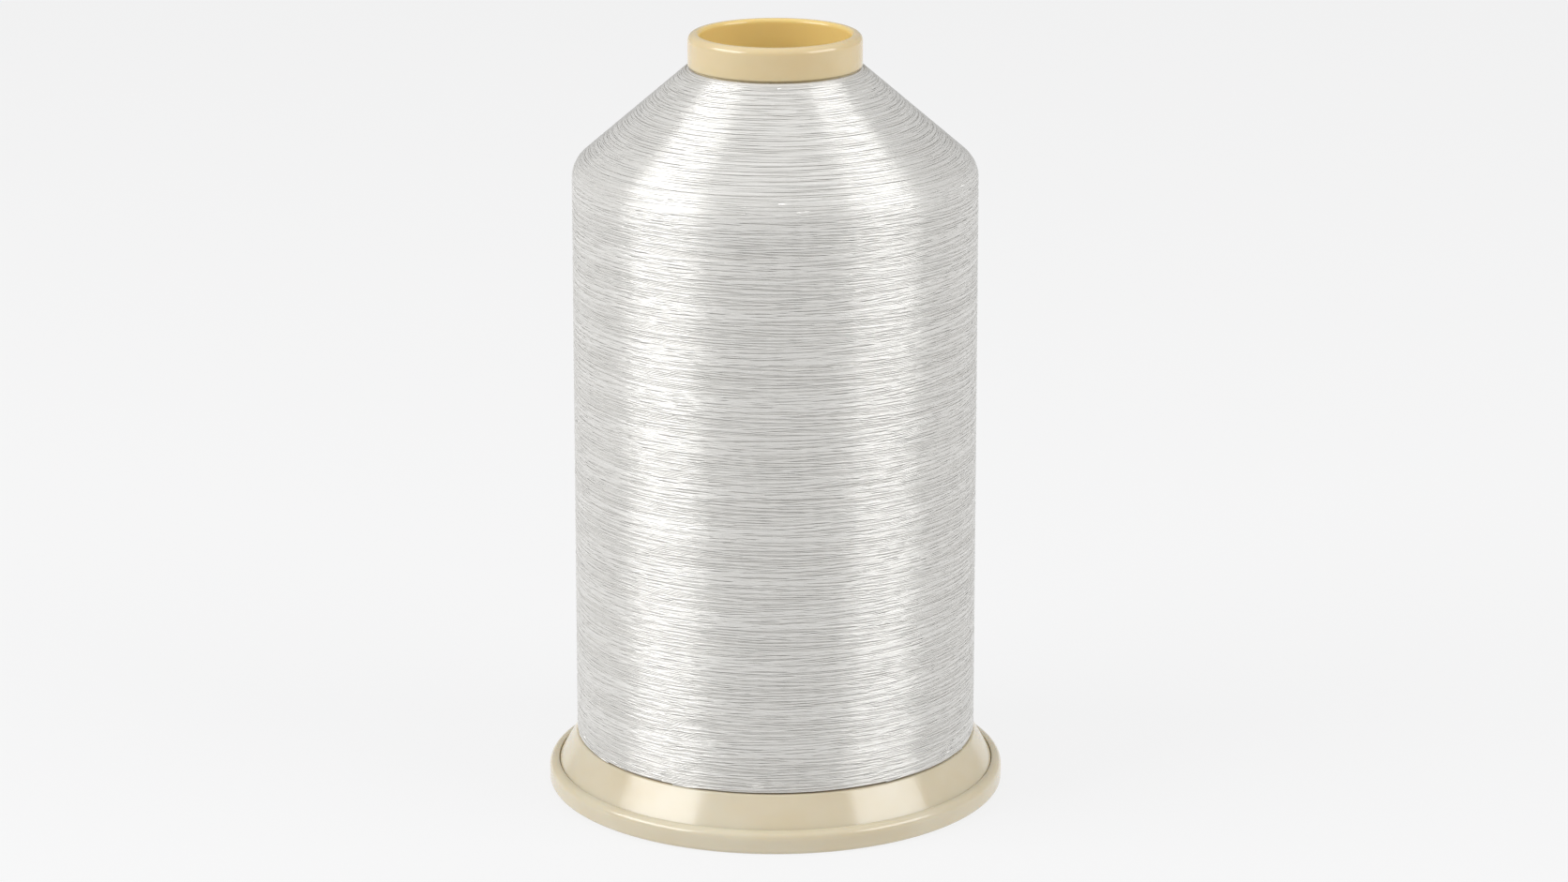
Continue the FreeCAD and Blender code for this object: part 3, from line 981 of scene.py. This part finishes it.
@dataclass
class StoredTail:
    """Loose end of the filament: down the skirt, over its edge and round the lock channel."""

    finish: bpy.types.Material
    body: str = "spool"
    slot: str = "clear_filament"
    radius: float = 0.125 * MM
    sides: int = 8
    clearance: float = 0.02 * MM
    azimuth: float = TAIL_AZIMUTH
    edge_bend: float = 0.75 * MM
    turn_bend: float = TAIL_LANE
    channel_radius: float = TAIL_RADIUS_ROUND_CHANNEL
    channel_height: float = 2.6 * MM
    start_height: float = 10.0 * MM
    arc: float = math.radians(300)
    skirt_top: float = 36.86 * MM
    skirt_edge_height: float = 3.9 * MM

    def build(self) -> list[bpy.types.Object]:
        """Build the tail as one strand, bend after bend.

        Returns:
            The piece.
        """
        _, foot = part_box("foot_flange")
        lean = math.atan2(foot.x - self.skirt_top, foot.z - self.skirt_edge_height)
        off = self.radius + self.clearance

        def on_skirt(height: float) -> float:
            """Distance from the axis of the strand at that height on the skirt."""
            drop = foot.z + off * math.sin(lean) - height
            return self.skirt_top + off * math.cos(lean) + drop * math.tan(lean)

        lane = -self.turn_bend
        setback = self.edge_bend * math.tan(lean / 2)
        start = Vector((on_skirt(self.start_height), lane, self.start_height))
        reach = self.channel_radius - on_skirt(self.start_height)
        edge_height = self.start_height - reach / math.tan(lean)
        down_skirt = Vector((math.sin(lean), 0.0, -math.cos(lean)))
        run = (self.channel_radius - start.x) / math.sin(lean) - setback
        shape = bmesh.new()
        ring = bmesh.ops.create_circle(shape, cap_ends=True, segments=self.sides,
                                       radius=self.radius)
        bmesh.ops.rotate(shape, verts=ring["verts"], cent=(0, 0, 0),
                         matrix=Matrix.Rotation(-lean, 3, "Y"))
        bmesh.ops.translate(shape, verts=ring["verts"], vec=start)
        end = list(shape.faces)
        end = self.straight(shape, end, down_skirt * run)
        over_edge = (self.channel_radius - self.edge_bend, lane, edge_height - setback)
        end = self.bend(shape, end, over_edge, (0, 1, 0), lean, 6)
        drop = edge_height - setback - self.channel_height - self.turn_bend
        end = self.straight(shape, end, Vector((0, 0, -drop)))
        into_channel = (self.channel_radius, 0.0, self.channel_height + self.turn_bend)
        end = self.bend(shape, end, into_channel, (1, 0, 0), math.pi / 2, 10)
        self.bend(shape, end, (0, 0, 0), (0, 0, 1), self.arc, 160)
        inner = [face for face in shape.faces
                 if all(len(edge.link_faces) > 2 for edge in face.edges)]
        bmesh.ops.delete(shape, geom=inner, context="FACES_ONLY")
        bmesh.ops.rotate(shape, verts=shape.verts, cent=(0, 0, 0),
                         matrix=Matrix.Rotation(self.azimuth, 3, AXIS))
        bmesh.ops.recalc_face_normals(shape, faces=shape.faces)
        tones = shape.verts.layers.float.new(STRAND_TONE)
        for vert in shape.verts:
            vert[tones] = 0.8
        return [as_piece("tail_strand", shape, self.finish, self.body, ["stored_tail"],
                         sharp=80.0)]

    @staticmethod
    def straight(shape: bmesh.types.BMesh, end: list, move: Vector) -> list:
        """Pull the strand's end face along a straight run and give the new end."""
        made = bmesh.ops.extrude_face_region(shape, geom=end)
        moved = [item for item in made["geom"] if isinstance(item, bmesh.types.BMVert)]
        bmesh.ops.translate(shape, verts=moved, vec=move)
        return [item for item in made["geom"] if isinstance(item, bmesh.types.BMFace)]

    @staticmethod
    def bend(shape: bmesh.types.BMesh, end: list, centre: Sequence[float], axis: Sequence[float],
             angle: float, steps: int) -> list:
        """Sweep the strand's end face round a centre and give the new end."""
        made = bmesh.ops.spin(shape, geom=end, cent=centre, axis=axis, dvec=(0, 0, 0), angle=angle,
                              steps=steps, use_merge=False, use_duplicate=False)
        return [item for item in made["geom_last"] if isinstance(item, bmesh.types.BMFace)]


# ----------------------------------------------------------------------------------------------
# The studio
# ----------------------------------------------------------------------------------------------

@dataclass(frozen=True)
class Softbox:
    """A soft lamp, placed round the spool and aimed at it."""

    name: str
    azimuth: float
    elevation: float
    distance: float
    width: float
    height: float
    brightness: float

    def build(self, target: Vector) -> None:
        """Hang the lamp and point it at the target."""
        lamp = bpy.data.lights.new(self.name, "AREA")
        lamp.shape = "RECTANGLE"
        lamp.size, lamp.size_y = self.width, self.height
        lamp.energy = self.brightness * math.pi * self.width * self.height
        turn, rise = math.radians(self.azimuth), math.radians(self.elevation)
        way = Vector((math.sin(turn) * math.cos(rise), -math.cos(turn) * math.cos(rise),
                      math.sin(rise)))
        holder = bpy.data.objects.new(self.name, lamp)
        holder.location = target + way * self.distance
        holder.rotation_euler = way.to_track_quat("Z", "Y").to_euler()
        bpy.context.scene.collection.objects.link(holder)


@dataclass
class Studio:
    """Camera, pale table, soft lamps and the room's own light."""

    table_finish: bpy.types.Material
    camera_distance: float = 0.7723
    camera_height: float = 0.2860
    camera_side: float = 0.00158
    camera_pitch: float = math.radians(16.0)
    lens: float = 100.96
    sensor: float = 36.0
    table_half: float = 4.0
    room: float = 0.45
    backdrop: float = 0.9
    lamps: tuple[Softbox, ...] = (
        Softbox("left_softbox", -70, 32, 0.95, 0.72, 0.40, 6.9),
        Softbox("right_softbox", 68, 32, 0.95, 0.64, 0.40, 5.4),
        Softbox("overhead", 0, 85, 1.2, 2.0, 2.0, 0.55),
    )

    def build(self) -> None:
        """Set up the whole studio."""
        self.place_camera()
        self.lay_table()
        low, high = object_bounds()
        for lamp in self.lamps:
            lamp.build((low + high) / 2)
        self.light_room()
        bpy.context.scene.view_settings.view_transform = "Standard"

    def place_camera(self) -> None:
        """Put the camera where the spool is seen from."""
        data = bpy.data.cameras.new("camera")
        data.lens = self.lens
        data.sensor_width = self.sensor
        camera = bpy.data.objects.new("camera", data)
        camera.location = (self.camera_side, -self.camera_distance, self.camera_height)
        camera.rotation_euler = (math.pi / 2 - self.camera_pitch, 0.0, 0.0)
        bpy.context.scene.collection.objects.link(camera)
        bpy.context.scene.camera = camera

    def lay_table(self) -> None:
        """Lay the pale table."""
        shape = bmesh.new()
        bmesh.ops.create_grid(shape, x_segments=8, y_segments=8, size=self.table_half)
        mesh = bpy.data.meshes.new("table")
        shape.to_mesh(mesh)
        shape.free()
        mesh.materials.append(self.table_finish)
        table = bpy.data.objects.new("table", mesh)
        bpy.context.scene.collection.objects.link(table)
        table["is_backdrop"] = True

    def light_room(self) -> None:
        """Give the room an even pale light."""
        world = bpy.data.worlds.new("room")
        world.use_nodes = True
        tree = world.node_tree
        lit = tree.nodes["Background"]
        lit.inputs["Color"].default_value = (1.0, 1.0, 1.0, 1.0)
        lit.inputs["Strength"].default_value = self.room
        seen = tree.nodes.new("ShaderNodeBackground")
        seen.inputs["Color"].default_value = (1.0, 1.0, 1.0, 1.0)
        seen.inputs["Strength"].default_value = self.backdrop
        path = tree.nodes.new("ShaderNodeLightPath")
        choice = tree.nodes.new("ShaderNodeMixShader")
        tree.links.new(path.outputs["Is Camera Ray"], choice.inputs["Fac"])
        tree.links.new(lit.outputs["Background"], choice.inputs[1])
        tree.links.new(seen.outputs["Background"], choice.inputs[2])
        tree.links.new(choice.outputs["Shader"], tree.nodes["World Output"].inputs["Surface"])
        bpy.context.scene.world = world


# ----------------------------------------------------------------------------------------------
# Assembly
# ----------------------------------------------------------------------------------------------

def corners(bounds: tuple[Vector, Vector]) -> list[list[float]]:
    """A box's corners as plain lists."""
    return [list(corner) for corner in bounds]


def main() -> None:
    """Build every sub-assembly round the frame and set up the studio."""
    logging.basicConfig(level=logging.INFO, format="%(message)s")
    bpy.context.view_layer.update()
    cream = CreamPlastic().material()
    amber = CreamPlastic("amber_plastic", colour(205, 188, 150), colour(197, 175, 130)).material()
    clear = ClearFilament().material()
    for part in (Carrier(cream, amber), LockRing(cream), Winding(clear), StoredTail(clear)):
        for piece in part.build():
            log.info("%s rides on %s", piece.name, part.body)
    Studio(PaleTable().material()).build()


if __name__ == "__main__":
    main()
